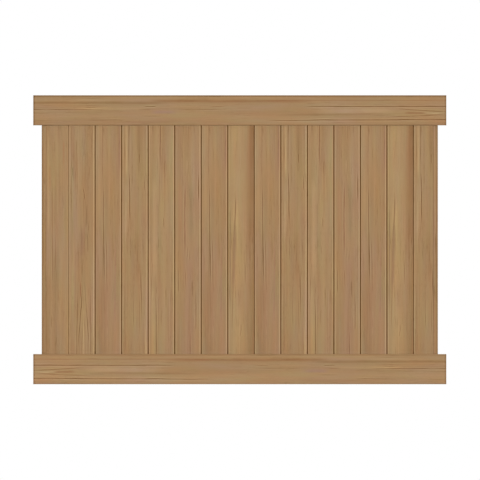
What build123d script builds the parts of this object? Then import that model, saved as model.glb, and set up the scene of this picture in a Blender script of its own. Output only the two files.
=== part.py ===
from build123d import *
import os

# Vinyl privacy fence panel: hollow tongue-and-groove boards stand in the pockets
# of two hollow rails, with a U-channel over each end of the row.
# Millimetres. X runs along the panel, the front looks along -Y and Z is up.
# The origin is the middle of the bottom rail's underside.

# Rails: one extrusion, used pocket up at the bottom and pocket down at the top
rail_length = 2438.4
rail_height = 177.8
rail_thickness = 50.8
rail_wall = 2.3
rail_web_wall = 1.8
rail_web_height = 72.0  # from the rail's outer edge to the middle of its cross web
rail_corner_radius = 3.0
rail_lip_radius = 0.9
rail_spacing = 1350.0  # clear height between the rails
pocket_depth = 34.0
pocket_wall = 2.0

# Water drains through the bottom rail's floor and webs
drain_diameter = 6.5
drain_spacing = 610.0
drain_count = 4

# Steel insert that keeps the bottom rail from sagging
stiffener_wall = 1.2
stiffener_bend_radius = 2.4
stiffener_end_gap = 12.0

# Boards
board_pitch = 156.6
board_thickness = 22.2
board_wall = 1.4
board_edge_chamfer = 2.8  # two of them make the V-groove at a joint
board_rib_spacing = 36.0
board_top_clearance = 6.0  # room to grow in the sun
tongue_thickness = 8.6
tongue_length = 9.0
tongue_tip_chamfer = 1.2

# End channels
rail_overhang = 50.0  # from a channel's back to the rail's end
channel_depth = 26.0
channel_wall = 1.8
channel_corner_radius = 0.8
screw_hole_diameter = 4.5
screw_count = 4
screw_end_distance = 65.0  # from the channel's ends

# Clearances
pocket_clearance = 0.3  # each side of a board in a rail's pocket
channel_clearance = 0.3  # each side of a board in a channel
tongue_clearance = 0.25  # each side of a tongue in its groove
tongue_tip_clearance = 1.5
shoulder_gap = 0.6  # between the faces of neighbouring boards
web_clearance = 0.5  # between a channel's web and the board beside it
channel_end_clearance = 0.5  # below the top rail
stiffener_clearance = 0.3  # each side of the insert, and above it

overall_height = 2 * rail_height + rail_spacing
rail_inner_width = rail_thickness - 2 * rail_wall
pocket_width = board_thickness + 2 * pocket_clearance
pocket_floor = rail_height - pocket_depth
web_underside = rail_web_height - rail_web_wall / 2

infill_width = rail_length - 2 * rail_overhang
board_row_start = -infill_width / 2 + channel_wall + web_clearance
board_row_width = -2 * board_row_start
full_board_count = int(board_row_width // board_pitch)
last_board_width = board_row_width - full_board_count * board_pitch
board_face_width = board_pitch - shoulder_gap
board_length = rail_spacing + 2 * pocket_depth - board_top_clearance
groove_depth = tongue_length - shoulder_gap + tongue_tip_clearance
groove_width = tongue_thickness + 2 * tongue_clearance

os.makedirs("parts", exist_ok=True)


def finish(part, name):
    part.label = name
    export_step(part, f"parts/{name}.step")


def hollow_rail(outer_edge):
    # outer_edge is a plane on the rail's end, its Y axis pointing at the pocket
    with BuildPart() as rail:
        with BuildSketch(outer_edge) as section:
            with Locations((0, rail_height / 2)):
                RectangleRounded(rail_thickness, rail_height, rail_corner_radius)
            with Locations((0, rail_height)):
                Rectangle(
                    pocket_width,
                    pocket_depth,
                    align=(Align.CENTER, Align.MAX),
                    mode=Mode.SUBTRACT,
                )
            lips = section.vertices().group_by(Axis.Y)[-1].sort_by(Axis.X)[1:-1]
            fillet(lips, rail_lip_radius)
            # Chambers across the whole rail, below and above the cross web
            main_chambers = (
                (rail_wall, web_underside),
                (web_underside + rail_web_wall, pocket_floor - rail_wall),
            )
            for low, high in main_chambers:
                with Locations((0, (low + high) / 2)):
                    Rectangle(rail_inner_width, high - low, mode=Mode.SUBTRACT)
            # Chambers beside the pocket
            inner = pocket_width / 2 + pocket_wall
            outer = rail_inner_width / 2
            side_chamber_height = pocket_depth - rail_wall
            for side in (-1, 1):
                with Locations((side * (inner + outer) / 2, pocket_floor + side_chamber_height / 2)):
                    Rectangle(outer - inner, side_chamber_height, mode=Mode.SUBTRACT)
        extrude(amount=rail_length)
    return rail.part


def board_section(width):
    # Drawn from the groove's face at X = 0 to the shoulder at X = width
    hollow_start = groove_depth + board_wall
    hollow_width = width - board_wall - hollow_start
    rib_count = max(1, round(hollow_width / board_rib_spacing) - 1)
    rib_step = hollow_width / (rib_count + 1)
    with BuildSketch() as section:
        with Locations((width / 2, 0)):
            Rectangle(width, board_thickness)
        chamfer(section.vertices(), board_edge_chamfer)
        with Locations((width, 0)):
            Rectangle(2 * tongue_length, tongue_thickness)
        chamfer(section.vertices().group_by(Axis.X)[-1], tongue_tip_chamfer)
        Rectangle(2 * groove_depth, groove_width, mode=Mode.SUBTRACT)
        offset(amount=-board_wall, kind=Kind.INTERSECTION, mode=Mode.SUBTRACT)
        with Locations((hollow_start + hollow_width / 2, 0)):
            with GridLocations(rib_step, 0, rib_count, 1):
                Rectangle(board_wall, board_thickness - board_wall)
    return section.sketch


# Bottom rail, with a line of drain holes through its floor and webs
lower_edge = Plane(origin=(-rail_length / 2, 0, 0), x_dir=(0, 1, 0), z_dir=(1, 0, 0))
rail_blank = hollow_rail(lower_edge)
with BuildPart() as bottom_rail:
    add(rail_blank)
    with BuildSketch(Plane.XY):
        with GridLocations(drain_spacing, 0, drain_count, 1):
            Circle(drain_diameter / 2)
    extrude(amount=pocket_floor, mode=Mode.SUBTRACT)
finish(bottom_rail.part, "bottom_rail")

# Top rail: the same extrusion turned over
upper_edge = Plane(
    origin=(-rail_length / 2, 0, overall_height), x_dir=(0, -1, 0), z_dir=(1, 0, 0)
)
top_rail = hollow_rail(upper_edge)
finish(top_rail, "top_rail")

# Insert: an inverted U of folded sheet steel, standing on the rail's floor
stiffener_width = rail_inner_width - 2 * stiffener_clearance
stiffener_height = web_underside - rail_wall - stiffener_clearance
stiffener_end = Plane(
    origin=(-rail_length / 2 + stiffener_end_gap, 0, rail_wall),
    x_dir=(0, 1, 0),
    z_dir=(1, 0, 0),
)
with BuildPart() as bottom_rail_stiffener:
    with BuildSketch(stiffener_end) as u_section:
        with BuildLine() as u_line:
            Polyline(
                (-stiffener_width / 2, 0),
                (-stiffener_width / 2, stiffener_height),
                (stiffener_width / 2, stiffener_height),
                (stiffener_width / 2, 0),
            )
            fillet(u_line.vertices().group_by(Axis.Y)[-1], stiffener_bend_radius)
            offset(amount=-stiffener_wall, side=Side.RIGHT)
        make_face()
    extrude(amount=rail_length - 2 * stiffener_end_gap)
finish(bottom_rail_stiffener.part, "bottom_rail_stiffener")

# End channels: a U over the end board, with screw holes through its web
channel_length = rail_spacing - channel_end_clearance
channel_width = board_thickness + 2 * (channel_clearance + channel_wall)
screw_spacing = (channel_length - 2 * screw_end_distance) / (screw_count - 1)
web_back = Plane(
    origin=(-infill_width / 2, 0, rail_height + channel_length / 2),
    x_dir=(0, 0, 1),
    z_dir=(1, 0, 0),
)
with BuildPart() as left_channel:
    with BuildSketch(Plane.XY.offset(rail_height)):
        with Locations((-infill_width / 2 + channel_depth / 2, 0)):
            RectangleRounded(channel_depth, channel_width, channel_corner_radius)
        with Locations((-infill_width / 2 + channel_wall, 0)):
            Rectangle(
                channel_depth,
                channel_width - 2 * channel_wall,
                align=(Align.MIN, Align.CENTER),
                mode=Mode.SUBTRACT,
            )
    extrude(amount=channel_length)
    with BuildSketch(web_back):
        with GridLocations(screw_spacing, 0, screw_count, 1):
            Circle(screw_hole_diameter / 2)
    extrude(amount=channel_wall, mode=Mode.SUBTRACT)
finish(left_channel.part, "left_channel")

with BuildPart() as right_channel:
    mirror(left_channel.part, about=Plane.YZ)
finish(right_channel.part, "right_channel")

# Boards, numbered from the left, each with its tongue in the next one's groove
section = board_section(board_face_width)
for index in range(full_board_count + 1):
    face_start = board_row_start + index * board_pitch
    with BuildPart() as board:
        with BuildSketch(Plane((face_start, 0, pocket_floor))):
            add(section)
        extrude(amount=board_length)
        # The last board is ripped to the width that is left
        if index == full_board_count:
            cut = Plane.YZ.offset(face_start + last_board_width)
            split(bisect_by=cut, keep=Keep.BOTTOM)
    finish(board.part, f"board_{index + 1:02d}")
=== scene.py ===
import math
import bmesh
import bpy
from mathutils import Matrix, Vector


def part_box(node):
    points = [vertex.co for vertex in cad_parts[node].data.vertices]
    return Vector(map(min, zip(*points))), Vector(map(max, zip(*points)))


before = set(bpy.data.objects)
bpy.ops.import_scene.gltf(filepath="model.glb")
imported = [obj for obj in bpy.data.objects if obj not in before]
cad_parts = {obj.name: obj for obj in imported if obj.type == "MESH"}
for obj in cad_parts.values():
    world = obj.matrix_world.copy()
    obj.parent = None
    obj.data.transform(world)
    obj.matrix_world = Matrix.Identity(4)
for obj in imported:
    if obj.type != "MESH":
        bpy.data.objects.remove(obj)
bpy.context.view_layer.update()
print("frame loaded:", len(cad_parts), "nodes")


# Small helpers for building node trees

def linear(red, green, blue):
    # a colour on screen, 0 to 255, as the shader wants it
    def channel(value):
        value /= 255
        return value / 12.92 if value <= 0.04045 else ((value + 0.055) / 1.055) ** 2.4
    return (channel(red), channel(green), channel(blue), 1.0)


def addNode(tree, kind, inputs=None, **settings):
    node = tree.nodes.new(kind)
    for name, value in settings.items():
        setattr(node, name, value)
    for key, value in (inputs or {}).items():
        if isinstance(value, bpy.types.NodeSocket):
            tree.links.new(value, node.inputs[key])
        else:
            node.inputs[key].default_value = value
    return node


def calc(tree, operation, a=0.0, b=0.0, c=0.0, clamp=False):
    node = addNode(tree, "ShaderNodeMath", {0: a, 1: b, 2: c}, operation=operation, use_clamp=clamp)
    return node.outputs[0]


def ease(tree, value, low, high, toLow=0.0, toHigh=1.0):
    # smooth step from one value to another
    node = addNode(
        tree, "ShaderNodeMapRange",
        {"Value": value, "From Min": low, "From Max": high, "To Min": toLow, "To Max": toHigh},
        interpolation_type="SMOOTHSTEP",
    )
    return node.outputs["Result"]


def blendColours(tree, factor, a, b, how="MIX"):
    # sockets 6, 7 and 2 are the node's colour inputs and its colour output
    node = addNode(tree, "ShaderNodeMix", {0: factor, 6: a, 7: b}, data_type="RGBA", blend_type=how)
    return node.outputs[2]


def streaks(tree, across, along, seed, perMetreAcross, perMetreAlong, detail=2.0):
    # noise drawn out along the grain, centred on zero
    point = addNode(tree, "ShaderNodeCombineXYZ", {
        0: calc(tree, "MULTIPLY", across, perMetreAcross),
        1: calc(tree, "MULTIPLY", along, perMetreAlong),
        2: seed,
    }).outputs[0]
    noise = addNode(tree, "ShaderNodeTexNoise", {"Vector": point, "Scale": 1.0, "Detail": detail})
    return calc(tree, "SUBTRACT", noise.outputs["Fac"], 0.5)


# Wood-grain print

grain = {
    "base": linear(161, 127.2, 87.7),
    "dark": linear(105, 67, 4),
    "light": linear(198, 166, 123),
    "red": linear(166, 118, 82),
    "green": linear(157, 138, 92),
    "gold": linear(167, 128, 76),
    "grey": linear(160, 128, 104),
    "bare": linear(176, 148, 114),  # vinyl under the print, seen at cut ends and inside
    "midTone": 0.515,
    # how strongly each kind of streak shows
    "broad": 0.20,
    "medium": 0.22,
    "fine": 0.115,
    "strokes": 0.165,
    "pores": 0.13,
    "fibres": 4.0,
    "sway": 0.012,  # metres
    "calmToBusy": (0.3, 1.6),
    "redTint": 1.3,
    "goldTint": 1.55,
    # seed, cells per metre across the grain and along it, detail
    "layers": {
        "sway": (3, 9, 1.6, 2.0),
        "broad": (0, 26, 1.1, 2.0),
        "medium": (11, 95, 1.9, 2.0),
        "fine": (23, 260, 4.5, 3.5),
        "strokes": (37, 210, 7, 2.0),
        "pores": (31, 900, 26, 2.0),
        "fibres": (83, 620, 9, 3.0),
        "busy": (71, 13, 2.4, 2.0),
        "red": (47, 22, 3.2, 2.0),
        "gold": (59, 15, 2.4, 2.0),
    },
    # noise levels where a layer starts to show and where it is full
    "strokeLevels": (0.09, 0.2),
    "poreLevels": (0.1, 0.2),
    "busyLevels": (-0.16, 0.16),
    "roughness": (0.6, 0.46),  # in the hollows and on the ridges
    "roughLevels": (-0.3, 0.3),
    "emboss": 0.0008,
    "embossStrength": 0.6,
    "embossMedium": 0.6,
    "embossPores": 0.3,
}

grainLine = {
    "depth": 0.50,
    "wander": 0.006,  # metres
    "wanderCells": (40, 5),  # per metre
    "strength": (1.2, 0.9),  # how much it varies, and its middle
    "fadeShare": 0.3,  # of the length, at each end
    "fadeMost": 0.12,
    "edgeReach": 3.0,  # in half widths
    "edgeLight": 0.09,
    "thin": 8,  # mm of half width, under which a line has a pale edge and is broken up
}


def makeLineGroup():
    # one grain line: dark along its middle, with soft ends and a pale edge
    tree = bpy.data.node_groups.new("grainLine", "ShaderNodeTree")
    for name in ("Across", "Along", "Place", "Low", "High", "Half width", "Lean"):
        tree.interface.new_socket(name, in_out="INPUT", socket_type="NodeSocketFloat")
    for name in ("Line", "Edge"):
        tree.interface.new_socket(name, in_out="OUTPUT", socket_type="NodeSocketFloat")
    given = tree.nodes.new("NodeGroupInput").outputs
    fromLow = calc(tree, "SUBTRACT", given["Along"], given["Low"])
    toHigh = calc(tree, "SUBTRACT", given["High"], given["Along"])
    wander = streaks(tree, given["Place"], given["Along"], given["Low"], *grainLine["wanderCells"])
    middle = calc(tree, "MULTIPLY_ADD", fromLow, given["Lean"], given["Place"])
    middle = calc(tree, "MULTIPLY_ADD", wander, grainLine["wander"], middle)
    away = calc(tree, "ABSOLUTE", calc(tree, "SUBTRACT", given["Across"], middle))
    away = calc(tree, "DIVIDE", away, given["Half width"])
    length = calc(tree, "SUBTRACT", given["High"], given["Low"])
    fade = calc(tree, "MULTIPLY", length, grainLine["fadeShare"])
    fade = calc(tree, "MINIMUM", fade, grainLine["fadeMost"])
    ends = calc(tree, "MINIMUM", fromLow, toHigh)
    ends = ease(tree, calc(tree, "DIVIDE", ends, fade), 0.0, 1.0)
    strength = calc(tree, "MULTIPLY_ADD", wander, *grainLine["strength"])
    strength = calc(tree, "MULTIPLY", strength, ends)
    line = calc(tree, "MULTIPLY", ease(tree, away, 1.0, 0.0), strength)
    edge = calc(tree, "MULTIPLY", ease(tree, away, grainLine["edgeReach"], 1.0), strength)
    addNode(tree, "NodeGroupOutput", {"Line": line, "Edge": edge})
    return tree


def makeGrainGroup(name, seed, lines, lineGroup, liveliness=1.0):
    # lines: place across, low end, high end, half width, drift by the high end (all mm), dark, red, gold
    tree = bpy.data.node_groups.new(name, "ShaderNodeTree")
    for socket in ("Across", "Along", "Shade"):
        tree.interface.new_socket(socket, in_out="INPUT", socket_type="NodeSocketFloat")
    tree.interface.new_socket("Colour", in_out="OUTPUT", socket_type="NodeSocketColor")
    tree.interface.new_socket("Height", in_out="OUTPUT", socket_type="NodeSocketFloat")
    given = tree.nodes.new("NodeGroupInput").outputs
    along = given["Along"]

    def layer(kind, across):
        offset, *pattern = grain["layers"][kind]
        return streaks(tree, across, along, seed + offset, *pattern)

    across = calc(tree, "MULTIPLY_ADD", layer("sway", given["Across"]), grain["sway"], given["Across"])
    medium = layer("medium", across)
    fine = layer("fine", across)
    strokes = ease(tree, layer("strokes", across), *grain["strokeLevels"])
    pores = ease(tree, layer("pores", across), *grain["poreLevels"])
    # some of the print is busy and some is calm
    busy = ease(tree, layer("busy", across), *grain["busyLevels"], *grain["calmToBusy"])
    strands = calc(tree, "MULTIPLY", medium, grain["medium"])
    strands = calc(tree, "MULTIPLY_ADD", fine, grain["fine"], strands)
    strands = calc(tree, "MULTIPLY_ADD", pores, -grain["pores"], strands)
    strands = calc(tree, "MULTIPLY_ADD", strokes, -grain["strokes"], strands)
    strands = calc(tree, "MULTIPLY", strands, liveliness)
    tone = calc(tree, "SUBTRACT", grain["midTone"], given["Shade"])
    tone = calc(tree, "MULTIPLY_ADD", layer("broad", across), grain["broad"], tone)
    tone = calc(tree, "MULTIPLY_ADD", strands, busy, tone)
    red = calc(tree, "MULTIPLY", layer("red", across), grain["redTint"])
    gold = calc(tree, "MULTIPLY", layer("gold", across), grain["goldTint"])
    marks = 0.0

    for place, low, high, halfWidth, drift, dark, redness, goldness in lines:
        line = addNode(tree, "ShaderNodeGroup", node_tree=lineGroup, inputs={
            "Across": given["Across"],
            "Along": along,
            "Place": place / 1000,
            "Low": low / 1000,
            "High": high / 1000,
            "Half width": halfWidth / 1000,
            "Lean": drift / (high - low),
        }).outputs
        depth = -dark * grainLine["depth"]
        if halfWidth < grainLine["thin"]:
            marks = calc(tree, "MULTIPLY_ADD", line["Line"], depth, marks)
            marks = calc(tree, "MULTIPLY_ADD", line["Edge"], dark * grainLine["edgeLight"], marks)
        else:
            tone = calc(tree, "MULTIPLY_ADD", line["Line"], depth, tone)
        red = calc(tree, "MULTIPLY_ADD", line["Line"], redness, red)
        gold = calc(tree, "MULTIPLY_ADD", line["Line"], goldness, gold)

    # fibres break the thin lines up
    split = calc(tree, "MULTIPLY_ADD", layer("fibres", across), grain["fibres"], 1.0)
    tone = calc(tree, "MULTIPLY_ADD", marks, split, tone)
    ramp = addNode(tree, "ShaderNodeValToRGB", {"Fac": tone})
    stops = ramp.color_ramp.elements
    stops[0].color = grain["dark"]
    stops[1].color = grain["light"]
    stops.new(0.5).color = grain["base"]
    colour = ramp.outputs["Color"]
    # each hue pulls the tone's colour its own way
    for amount, more, less in ((red, "red", "green"), (gold, "gold", "grey")):
        for sign, hue in ((1, more), (-1, less)):
            share = calc(tree, "MULTIPLY", amount, sign, clamp=True)
            pull = [grain[hue][k] / grain["base"][k] for k in range(3)] + [1.0]
            colour = blendColours(tree, share, colour, pull, how="MULTIPLY")
    emboss = calc(tree, "MULTIPLY_ADD", medium, grain["embossMedium"], fine)
    emboss = calc(tree, "MULTIPLY_ADD", pores, -grain["embossPores"], emboss)
    addNode(tree, "NodeGroupOutput", {"Colour": colour, "Height": emboss})
    return tree


def nearness(tree, spot, axis, where, full, gone, most=1.0):
    # the full amount out to one distance from a place on an axis, and nothing beyond another
    distance = calc(tree, "ABSOLUTE", calc(tree, "SUBTRACT", spot[axis], where))
    return ease(tree, distance, gone, full, 0.0, most)


def printedVinyl(
    name, grainGroup, acrossAxis, alongAxis, start,
    flip=1, wrap=1, wrapFrom=0.0, darker=0.0, shades=(), bare=None,
):
    # start: where the print begins, across and along; flip: -1 turns it end for end
    # the print wraps round the long edges, because depth adds to the distance across the grain
    # shades: painted shade, or painted light where the amount is negative: axis, place, full out to, gone
    # by, how dark, and for a corner a second axis likewise
    material = bpy.data.materials.new(name)
    material.use_nodes = True
    tree = material.node_tree
    tree.nodes.clear()
    place = addNode(tree, "ShaderNodeTexCoord")
    spot = addNode(tree, "ShaderNodeSeparateXYZ", {0: place.outputs["Object"]}).outputs
    depth = calc(tree, "SUBTRACT", spot["Y"], wrapFrom)
    across = calc(tree, "SUBTRACT", spot[acrossAxis], start[0])
    across = calc(tree, "MULTIPLY_ADD", depth, wrap, across)
    along = calc(tree, "SUBTRACT", spot[alongAxis], start[1])
    along = calc(tree, "MULTIPLY", along, flip)
    shade = darker
    for axis, where, full, gone, dark, *corner in shades:
        amount = nearness(tree, spot, axis, where, full, gone, dark)
        if corner:
            amount = calc(tree, "MULTIPLY", amount, nearness(tree, spot, *corner))
        shade = calc(tree, "ADD", amount, shade)
    pattern = addNode(
        tree, "ShaderNodeGroup", {"Across": across, "Along": along, "Shade": shade}, node_tree=grainGroup
    ).outputs
    colour = pattern["Colour"]
    if bare:
        colour = blendColours(tree, bare(tree, spot, place.outputs["Normal"]), colour, grain["bare"])
    bump = addNode(tree, "ShaderNodeBump", {
        "Strength": grain["embossStrength"],
        "Distance": grain["emboss"],
        "Height": pattern["Height"],
    })
    shader = addNode(tree, "ShaderNodeBsdfPrincipled", {
        "Base Color": colour,
        "Roughness": ease(tree, pattern["Height"], *grain["roughLevels"], *grain["roughness"]),
        "IOR": 1.5,
        "Specular IOR Level": 0.3,
        "Normal": bump.outputs["Normal"],
    })
    addNode(tree, "ShaderNodeOutputMaterial", {"Surface": shader.outputs[0]})
    return material


def dress(nodeName, material):
    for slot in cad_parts[nodeName].material_slots:
        slot.link = "OBJECT"
        slot.material = material


# Boards: the print repeats along the row, so a few patterns serve them all

boards = {
    "order": "abcdefcgcdefcgd",  # each board's pattern, from the left
    "rowStart": -1.1669,
    "pitch": 0.1566,
    "faceWidth": 0.156,
    "seedStep": 7.3,
    # each reach is two distances in metres: full out to, gone by
    "seamReach": (0.0018, 0.0046),
    # painted shade in the V-groove of each seam: how strong at each seam, and how dark in all
    "seams": (0.0, 1.1, 1.2, 1.1, 1.2, 1.1, 1.3, 0.65, 1.2, 1.1, 1.2, 1.1, 1.4, 0.6),
    "seamShade": 0.36,
    # painted highlight beside each seam, left and right of the groove
    "highlightReach": (0.008, 0.013),
    "seamHighlights": (  # how much lighter the print is left and right of each seam
        (0.06, 0.13), (0.27, 0.05), (0.18, 0.14), (0.18, 0.18), (0.24, 0.06), (0.23, 0.06), (0.2, 0.12),
        (0.0, 0.15), (0.19, 0.08), (0.26, 0.12), (0.13, 0.12), (0.2, 0.1), (0.22, 0.14), (0.0, 0.13),
    ),
    # painted shadow of an end channel's lip on the board beside it
    "lipReach": (0.001, 0.003),
    "lipShadow": 0.16,  # along the edge of an end channel
    # painted light on the boards next to the rails, lifting the shade the rails cast
    "topReach": (0.004, 0.012),
    "footReach": (0.006, 0.02),
    "topLight": 0.12,  # how much lighter the print is under the top rail and over the bottom one
    "footLight": 0.08,
    # painted shade where each seam's groove runs into a rail
    "jointEndShade": (0.24, 0.18),  # how much darker a joint is at its top and at its foot
    "liveliness": {"a": 0.8, "b": 1.0, "c": 0.75, "d": 1.0, "e": 0.85, "f": 0.75, "g": 0.8},
}

# the grain lines that stand out on each pattern, in mm from the board's left edge and its foot
boardLines = {
    "a": (
        (63, 384, 1021, 4, -4, 0.6, 0.2, 0.0),
        (80, 460, 726, 3.5, 0, 0.5, 0.2, 0.0),
        (38, 700, 1350, 10, 0, -0.3, 0.0, 0.2),
        (45, 960, 1130, 10, 0, 0.0, 0.5, 0.3),
        (127, 1090, 1280, 10, 0, 0.1, 0.6, 0.1),
        (28, -200, 500, 30, 0, 0.2, 0.3, 0.0),
        (112, 100, 700, 14, 0, -0.12, 0.0, 0.1),
        (78, -200, 660, 34, 0, 0.16, 0.0, 0.0),
    ),
    "b": (
        (15, 750, 1500, 3, 0, 0.7, -0.35, 0.05),
        (24, 1040, 1112, 4, 0, 1.1, -0.3, -0.3),
        (32, 960, 1500, 22, 0, 0.22, -0.05, -0.1),
        (22, 600, 1180, 12, 0, -0.1, -0.3, 0.15),
        (95, 903, 985, 3.2, -9, 1.2, 0.1, 0.0),
        (91, 540, 930, 4, 0, 0.3, 0.3, 0.0),
        (82, 550, 770, 24, 0, 0.2, 0.35, -0.2),
        (71, 318, 437, 7, 0, 0.35, 1.0, 0.0),
        (24, 200, 700, 12, 0, -0.15, -0.3, 0.2),
        (56, 20, 440, 4, 28, 0.9, -0.1, -0.1),
        (121, 20, 430, 4, -26, 0.9, 0.0, -0.1),
        (42, -200, 380, 4, 12, 0.7, -0.1, 0.0),
        (133, -200, 350, 4, -8, 0.7, 0.0, 0.0),
        (74, -200, 250, 3.5, 9, 0.6, 0.0, 0.0),
        (101, -200, 240, 3.5, -8, 0.6, 0.0, 0.0),
        (87, -200, 330, 15, 0, -0.25, -0.1, 0.1),
    ),
    "c": (
        (54, 384, 1010, 4, -8, 0.9, 0.2, 0.0),
        (46, 960, 1500, 3.5, -2, 0.7, 0.1, 0.0),
        (71, 342, 690, 3.5, -5, 0.8, 0.3, 0.0),
        (48, -200, 480, 50, 0, 0.17, 0.15, 0.0),
        (24, 780, 1500, 20, 0, -0.13, 0.0, 0.1),
        (48, 330, 800, 26, 0, 0.17, 0.0, 0.0),
        (45, 400, 700, 5, 0, 0.4, 0.0, 0.0),
        (144, 1060, 1500, 13, 0, 0.3, 0.25, -0.4),
        (92, 740, 1260, 28, 0, 0.05, 0.0, 0.1),
        (118, 150, 700, 8, 0, 0.1, 0.5, -0.3),
        (122, -200, 380, 26, 0, -0.12, 0.25, 0.0),
    ),
    "d": (
        (50, 726, 1110, 4.5, -6, 1.2, 0.1, -0.2),
        (43, 1070, 1500, 4, 0, 0.9, 0.0, 0.0),
        (28, 1000, 1500, 11, 0, -0.5, -0.1, 0.2),
        (25, 640, 1060, 18, 0, -0.26, 0.0, 0.0),
        (19, 1115, 1290, 4, 0, 0.3, -0.5, 0.0),
        (104, 1120, 1190, 4, 0, 0.6, 0.2, 0.0),
        (133, 960, 1060, 3.5, 0, 1.0, 0.1, -0.2),
        (100, 1050, 1400, 22, 0, 0.15, 0.0, -0.1),
        (120, 200, 520, 4, -8, 0.9, 0.0, 0.0),
        (108, 80, 380, 3.5, -3, 0.5, 0.0, 0.0),
        (72, 140, 340, 4, -3, 0.6, 0.0, 0.0),
        (95, 380, 760, 24, 0, 0.15, 0.15, 0.0),
        (140, -200, 300, 8, 0, -0.3, -0.1, 0.2),
    ),
    "e": (
        (70, 1080, 1500, 5, 2, 0.8, 0.2, -0.3),
        (68, 800, 1120, 4, 0, 0.4, 0.1, -0.1),
        (91, 744, 815, 4, 0, 0.7, 0.0, 0.2),
        (98, 760, 1240, 4, 0, 0.35, 0.1, 0.0),
        (49, -200, 340, 4, -3, 1.0, 0.0, 0.0),
        (28, -200, 440, 16, 0, -0.3, 0.0, 0.2),
        (106, 260, 400, 4, -3, 0.7, 0.1, 0.0),
        (18, 300, 480, 4, 0, 0.5, 0.0, 0.0),
        (138, 700, 1500, 12, 0, -0.1, -0.4, 0.0),
        (36, 400, 1080, 26, 0, -0.3, 0.0, 0.05),
        (84, 1000, 1500, 30, 0, 0.16, 0.1, 0.0),
        (90, -200, 1500, 66, 0, -0.1, -0.1, 0.0),
    ),
    "f": (
        (60, 560, 1040, 4.5, 0, 0.9, 0.8, -0.2),
        (74, 1000, 1170, 15, 0, -0.25, 0.0, 0.0),
        (95, 640, 1040, 26, 0, 0.18, -0.35, -0.3),
        (30, 640, 1060, 22, 0, -0.05, 0.35, 0.1),
        (77, 560, 640, 3.2, 0, 0.8, 0.0, -0.2),
        (89, 545, 625, 3.2, 0, 0.9, 0.1, 0.0),
        (141, 880, 1090, 4.5, 0, 0.9, 0.0, 0.0),
        (20, 350, 520, 4, 0, 0.6, 0.0, -0.1),
        (68, 370, 510, 4, -6, 0.6, 0.2, 0.0),
        (90, -200, 160, 4, 0, 1.0, 0.3, -0.1),
        (124, 130, 310, 4, 3, 0.8, 0.1, 0.0),
        (90, -200, 600, 42, 0, 0.06, 0.2, -0.15),
        (124, -200, 360, 24, 0, -0.12, 0.2, 0.0),
        (30, -200, 380, 24, 0, 0.14, 0.0, 0.0),
    ),
    "g": (
        (50, -900, 2300, 72, 0, -0.28, -0.15, 0.3),
        (148, -900, 2300, 44, 0, 0.29, 0.08, 0.1),
        (140, 600, 2300, 30, 0, 0.12, 0.3, 0.1),
        (38, 700, 940, 6, 10, 0.8, 0.0, -0.2),
        (32, 340, 820, 15, 9, 0.44, 0.1, -0.5),
        (12, 250, 900, 9, 3, 0.4, 0.0, -0.6),
        (25, 130, 420, 5, 7, 0.5, 0.2, 0.0),
        (103, 400, 560, 5, 0, 0.6, 0.1, 0.0),
        (60, 560, 900, 14, 0, -0.2, -0.1, 0.1),
        (77, 135, 180, 7, 0, 0.4, 0.1, -0.1),
        (72, 100, 150, 5, 6, 0.5, 0.2, 0.0),
    ),
}

lineGroup = makeLineGroup()
boardGroups = {}
for number, (letter, lines) in enumerate(sorted(boardLines.items())):
    boardGroups[letter] = makeGrainGroup(
        "boardGrain_" + letter, boards["seedStep"] * number, lines, lineGroup, boards["liveliness"][letter]
    )

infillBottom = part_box("bottom_rail")[1][2]
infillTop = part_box("top_rail")[0][2]
underRail = ("Z", infillTop, *boards["topReach"])
overRail = ("Z", infillBottom, *boards["footReach"])
channelLips = {0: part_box("left_channel")[1][0], len(boards["order"]) - 1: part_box("right_channel")[0][0]}
for index, letter in enumerate(boards["order"]):
    nodeName = f"board_{index + 1:02d}"
    left = boards["rowStart"] + index * boards["pitch"]
    # painted light on the boards under the top rail and over the bottom one
    shades = [(*underRail, -boards["topLight"]), (*overRail, -boards["footLight"])]
    # the seam at each side of the board, where there is one: painted shade in its groove, a painted
    # highlight beside it, and painted shade at its ends by the rails
    for seam, edge, side in ((index - 1, left, 1), (index, left + boards["faceWidth"], 0)):
        if 0 <= seam < len(boards["seams"]):
            seamPlace = ("X", edge, *boards["seamReach"])
            highlight = boards["seamHighlights"][seam][side]
            shades.append((*seamPlace, boards["seams"][seam] * boards["seamShade"] + highlight))
            shades.append(("X", edge, *boards["highlightReach"], -highlight))
            for railPlace, dark in zip((underRail, overRail), boards["jointEndShade"]):
                shades.append((*seamPlace, dark, *railPlace))
    # painted shadow of the end channel's lip
    if index in channelLips:
        shades.append(("X", channelLips[index], *boards["lipReach"], boards["lipShadow"]))
    material = printedVinyl(
        f"boardVinyl_{index + 1:02d}", boardGroups[letter], "X", "Z", (left, infillBottom),
        wrapFrom=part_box(nodeName)[0][1], shades=shades,
    )
    dress(nodeName, material)
print("boards dressed")


# Rails: the same print on both, the bottom one turned end for end

rails = {
    "seed": 91.0,
    "liveliness": 0.7,
    # painted shade: how much darker the print is along the lower and the upper edge, and how far that
    # reaches
    "topRailEdges": (0.14, 0.23),
    "bottomRailEdges": (0.10, 0.11),
    "edgeReaches": ((0.004, 0.009), (0.008, 0.012)),
    "rimReach": (0.001, 0.003),  # the lower edge's rim itself is not darker
    # painted shade at the rail's ends
    "endShade": 0.2,
    "endReaches": ((0.008, 0.012), (0.007, 0.011)),
    # painted light on the bottom rail, all over and more so low down, against the floor's shade
    "bottomRailDarker": -0.035,
    "footLight": 0.07,
    "footReach": (0.03, 0.09),
    "printDepth": 0.0012,  # metres into the wall, beyond which the vinyl is plain
    "endFacing": 0.7,  # a face turned further along the rail than this is a cut end
}

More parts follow.
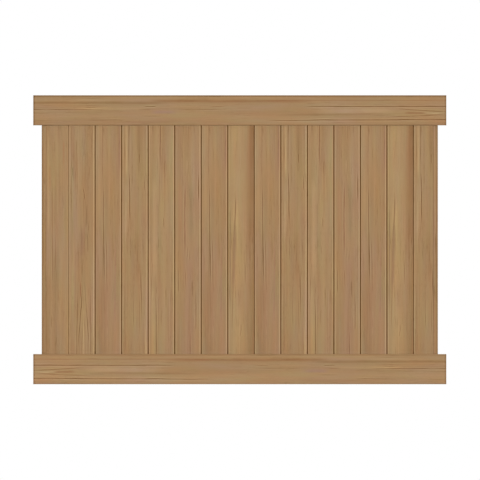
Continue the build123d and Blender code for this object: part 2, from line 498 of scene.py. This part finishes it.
# in mm from the rail's lower edge and its left end
railLines = (
    (112, 1590, 2700, 4.5, 0, 1.2, 0.0, 0.0),
    (29, 1370, 2700, 4.5, 7, 1.1, 0.0, 0.0),
    (133, -100, 820, 12, 0, 0.4, 0.0, 0.1),
    (145, 660, 1700, 12, -4, 0.32, 0.35, 0.0),
    (93, -200, 460, 3.5, -2, 0.9, 0.1, 0.0),
    (73, -60, 130, 4, 0, 0.7, 0.1, 0.0),
    (113, 650, 730, 3.4, 0, 2.0, 0.0, 0.0),
    (106, 295, 380, 3.2, 0, 0.8, 0.0, 0.0),
    (112, 1040, 1140, 3.5, 0, 0.5, 0.3, 0.0),
    (94, 840, 1160, 3.5, 0, 0.6, -0.1, 0.1),
    (31, 290, 560, 3.5, 0, 0.6, 0.1, 0.0),
    (20, -200, 900, 22, 0, 0.1, 0.25, 0.0),
    (55, 630, 760, 4, 0, 0.5, 0.0, 0.0),
    (78, 680, 860, 16, 0, 0.1, 0.1, -0.9),
    (100, 200, 700, 12, 0, -0.3, 0.0, 0.2),
    (148, 1300, 2700, 6, 0, 0.3, 0.3, 0.0),
    (97, 2130, 2480, 5, -18, 0.8, 0.1, 0.0),
    (48, 2080, 2440, 5, 16, 0.7, 0.1, 0.0),
    (74, 2180, 2330, 11, 0, 0.4, 0.6, 0.0),
    (72, 2290, 2420, 7, 0, -0.5, 0.0, -0.1),
    (84, 1640, 2160, 26, 0, -0.3, -0.1, 0.0),
    (60, 1420, 2100, 9, 10, 0.2, 0.0, 0.1),
    (20, 2280, 2700, 22, 0, 0.0, 0.5, 0.2),
)


def railBare(low, high):
    # plain vinyl on the cut ends and on the walls inside
    def mask(tree, spot, normal):
        def within(axis, where, reach):
            distance = calc(tree, "ABSOLUTE", calc(tree, "SUBTRACT", spot[axis], where))
            return calc(tree, "LESS_THAN", distance, reach - rails["printDepth"])

        faces = addNode(tree, "ShaderNodeSeparateXYZ", {0: normal}).outputs
        cut = calc(tree, "GREATER_THAN", calc(tree, "ABSOLUTE", faces["X"]), rails["endFacing"])
        deep = within("Y", (low[1] + high[1]) / 2, (high[1] - low[1]) / 2)
        between = within("Z", (low[2] + high[2]) / 2, (high[2] - low[2]) / 2)
        return calc(tree, "MAXIMUM", cut, calc(tree, "MULTIPLY", deep, between))

    return mask


railGroup = makeGrainGroup("railGrain", rails["seed"], railLines, lineGroup, rails["liveliness"])
for nodeName, flip, edges in (("top_rail", 1, "topRailEdges"), ("bottom_rail", -1, "bottomRailEdges")):
    low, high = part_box(nodeName)
    start = (low[2], low[0] if flip == 1 else high[0])
    lowerEdge, upperEdge = rails[edges]
    lowerReach, upperReach = rails["edgeReaches"]
    # painted shade along the rail's edges and at its ends
    shades = [
        ("Z", low[2], *lowerReach, lowerEdge),
        ("Z", low[2], *rails["rimReach"], -lowerEdge),
        ("Z", high[2], *upperReach, upperEdge),
        ("X", low[0], *rails["endReaches"][0], rails["endShade"]),
        ("X", high[0], *rails["endReaches"][1], rails["endShade"]),
    ]
    # painted light on the bottom rail
    darker = 0.0
    if nodeName == "bottom_rail":
        darker = rails["bottomRailDarker"]
        shades.append(("Z", low[2], *rails["footReach"], -rails["footLight"]))
    material = printedVinyl(
        nodeName + "Vinyl", railGroup, "Z", "X", start, flip=flip, wrapFrom=low[1], darker=darker,
        shades=shades, bare=railBare(low, high),
    )
    dress(nodeName, material)
print("rails dressed")


# End channels

# pairs are for the left channel and the right one
channels = {
    "seed": 133.0,
    "darker": (0.06, 0.0),
    # painted shade along each channel's outer edge
    "backShade": (0.14, 0.17),
    "backReaches": ((0.007, 0.011), (0.007, 0.017)),
}

channelLines = {
    "left_channel": (
        (8, -200, 1600, 6, 0, 0.2, 0.1, 0.0),
        (22, 200, 900, 4, 0, 0.3, 0.1, 0.0),
    ),
    "right_channel": (
        (5, -200, 1600, 6, 0, -0.1, 0.5, -0.2),
        (19, 300, 1100, 4, 0, 0.25, 0.2, 0.0),
    ),
}
for side, (nodeName, wrap) in enumerate((("left_channel", -1), ("right_channel", 1))):
    low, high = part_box(nodeName)
    group = makeGrainGroup(nodeName + "Grain", channels["seed"] + wrap, channelLines[nodeName], lineGroup)
    back = (low[0], high[0])[side]
    # painted shade along the channel's outer edge
    shades = [("X", back, *channels["backReaches"][side], channels["backShade"][side])]
    material = printedVinyl(
        nodeName + "Vinyl", group, "X", "Z", (low[0], low[2]), wrap=wrap, wrapFrom=low[1],
        darker=channels["darker"][side], shades=shades,
    )
    dress(nodeName, material)
print("channels dressed")


# Galvanised insert

steel = {
    "pale": linear(176, 180, 184),
    "dull": linear(140, 145, 150),
    "crystals": 55.0,  # per metre
    "roughness": (0.32, 0.5),
}


def galvanised():
    material = bpy.data.materials.new("galvanisedSteel")
    material.use_nodes = True
    tree = material.node_tree
    tree.nodes.clear()
    place = addNode(tree, "ShaderNodeTexCoord").outputs["Object"]
    crystal = addNode(tree, "ShaderNodeTexVoronoi", {"Vector": place, "Scale": steel["crystals"]})
    shade = addNode(tree, "ShaderNodeSeparateColor", {0: crystal.outputs["Color"]}).outputs[0]
    rough = ease(tree, shade, 0.0, 1.0, *steel["roughness"])
    shader = addNode(tree, "ShaderNodeBsdfPrincipled", {
        "Base Color": blendColours(tree, shade, steel["dull"], steel["pale"]),
        "Metallic": 1.0,
        "Roughness": rough,
    })
    addNode(tree, "ShaderNodeOutputMaterial", {"Surface": shader.outputs[0]})
    return material


dress("bottom_rail_stiffener", galvanised())
print("insert dressed")


# Floor, light and camera

studio = {
    "sky": 0.39,
    "key": 1.51,
    "keyTurn": 48,  # degrees to the right of the front
    "keyHeight": 12,  # degrees above the horizon
    "fill": 0.35,
    "fillTurn": -35,
    "fillHeight": 12,
    "overhead": 0.8,
    "softness": 25,  # degrees across, for every sun
    "floor": linear(240, 240, 238),
    "floorRoughness": 0.9,
    "floorSize": 60,
}


def makeFloor():
    mesh = bpy.data.meshes.new("floor")
    sheet = bmesh.new()
    bmesh.ops.create_grid(sheet, x_segments=1, y_segments=1, size=studio["floorSize"] / 2)
    sheet.to_mesh(mesh)
    sheet.free()
    floor = bpy.data.objects.new("floor", mesh)
    bpy.context.collection.objects.link(floor)
    material = bpy.data.materials.new("paleFloor")
    material.use_nodes = True
    shader = material.node_tree.nodes["Principled BSDF"]
    shader.inputs["Base Color"].default_value = studio["floor"]
    shader.inputs["Roughness"].default_value = studio["floorRoughness"]
    mesh.materials.append(material)


def makeSky():
    # white to the eye and in reflections, dimmer as a light
    world = bpy.data.worlds.new("studio")
    bpy.context.scene.world = world
    world.use_nodes = True
    tree = world.node_tree
    tree.nodes.clear()
    ray = addNode(tree, "ShaderNodeLightPath").outputs
    seen = calc(tree, "MAXIMUM", ray["Is Camera Ray"], ray["Is Glossy Ray"])
    seen = calc(tree, "MAXIMUM", seen, ray["Is Transmission Ray"])
    light = addNode(tree, "ShaderNodeBackground", {"Color": (1, 1, 1, 1), "Strength": studio["sky"]})
    white = addNode(tree, "ShaderNodeBackground", {"Color": (1, 1, 1, 1), "Strength": 1.0})
    both = addNode(tree, "ShaderNodeMixShader", {0: seen, 1: light.outputs[0], 2: white.outputs[0]})
    addNode(tree, "ShaderNodeOutputWorld", {"Surface": both.outputs[0]})


def makeSun(name, turn, height, strength):
    data = bpy.data.lights.new(name, "SUN")
    data.energy = strength
    data.angle = math.radians(studio["softness"])
    sun = bpy.data.objects.new(name, data)
    sun.rotation_euler = (math.radians(90 - height), 0, math.radians(turn))
    bpy.context.collection.objects.link(sun)


makeFloor()
makeSky()
for side, turn in (("front", 0), ("back", 180)):
    makeSun(side + "Key", turn + studio["keyTurn"], studio["keyHeight"], studio["key"])
    makeSun(side + "Fill", turn + studio["fillTurn"], studio["fillHeight"], studio["fill"])
makeSun("overhead", 0, 90, studio["overhead"])

photo = {
    "width": 480,  # pixels, as are the panel's middle and bottom
    "panelMiddle": 239.78,
    "panelBottom": 384.2,
    "metresPerPixel": 0.0059027,
    "distance": 5.0,
}
cameraData = bpy.data.cameras.new("camera")
cameraData.type = "ORTHO"
cameraData.ortho_scale = photo["width"] * photo["metresPerPixel"]
camera = bpy.data.objects.new("camera", cameraData)
camera.location = (
    (photo["width"] / 2 - photo["panelMiddle"]) * photo["metresPerPixel"],
    -photo["distance"],
    (photo["panelBottom"] - photo["width"] / 2) * photo["metresPerPixel"],
)
camera.rotation_euler = (math.radians(90), 0, 0)
bpy.context.collection.objects.link(camera)
bpy.context.scene.camera = camera
bpy.context.scene.view_settings.view_transform = "Standard"
print("stage set")
